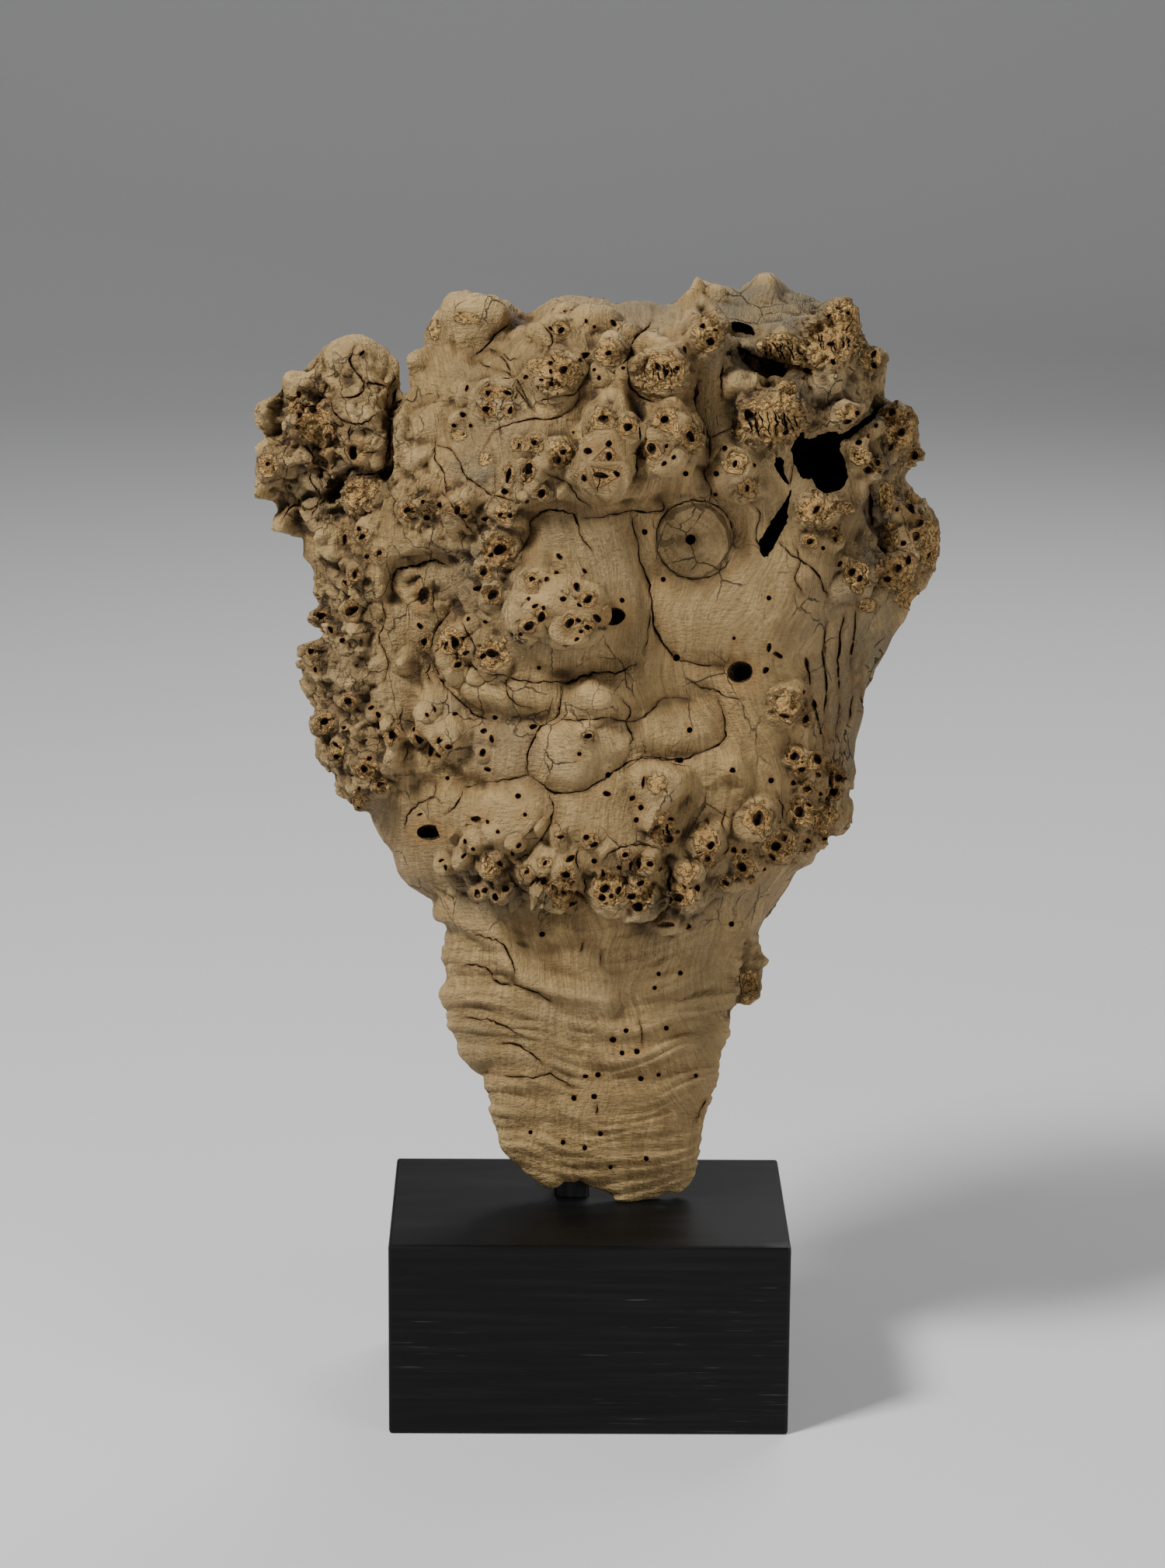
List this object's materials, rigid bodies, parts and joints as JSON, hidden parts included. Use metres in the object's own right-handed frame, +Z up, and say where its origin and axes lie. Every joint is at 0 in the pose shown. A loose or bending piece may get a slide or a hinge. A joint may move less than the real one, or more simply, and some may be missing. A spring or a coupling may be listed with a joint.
{
  "type": "mounted driftwood",
  "caption": "Gnarled burl of driftwood, with knots, clefts and beetle holes, held upright over a black wooden block by a steel post.",
  "frame": {"origin": "middle of the block's underside", "axes": "+Z up, -Y out of the side that is looked at, +X to the right of someone who looks at that side"},
  "size_m": [0.2595, 0.1049, 0.4366],
  "materials": {
    "driftwood": "weathered, matte",
    "black_wood": "black stain, satin",
    "black_steel": "black, satin",
    "zinc": "zinc plated"
  },
  "bodies": {
    "root": {"driftwood": "driftwood", "block": "black_wood", "post": "black_steel", "upper_arm": "black_steel", "lower_arm": "black_steel", "upper_arm_screw_1": "zinc", "upper_arm_screw_2": "zinc", "lower_arm_screw_1": "zinc", "lower_arm_screw_2": "zinc", "fixing_screw": "zinc", "fixing_washer": "zinc"}
  },
  "joints": []
}
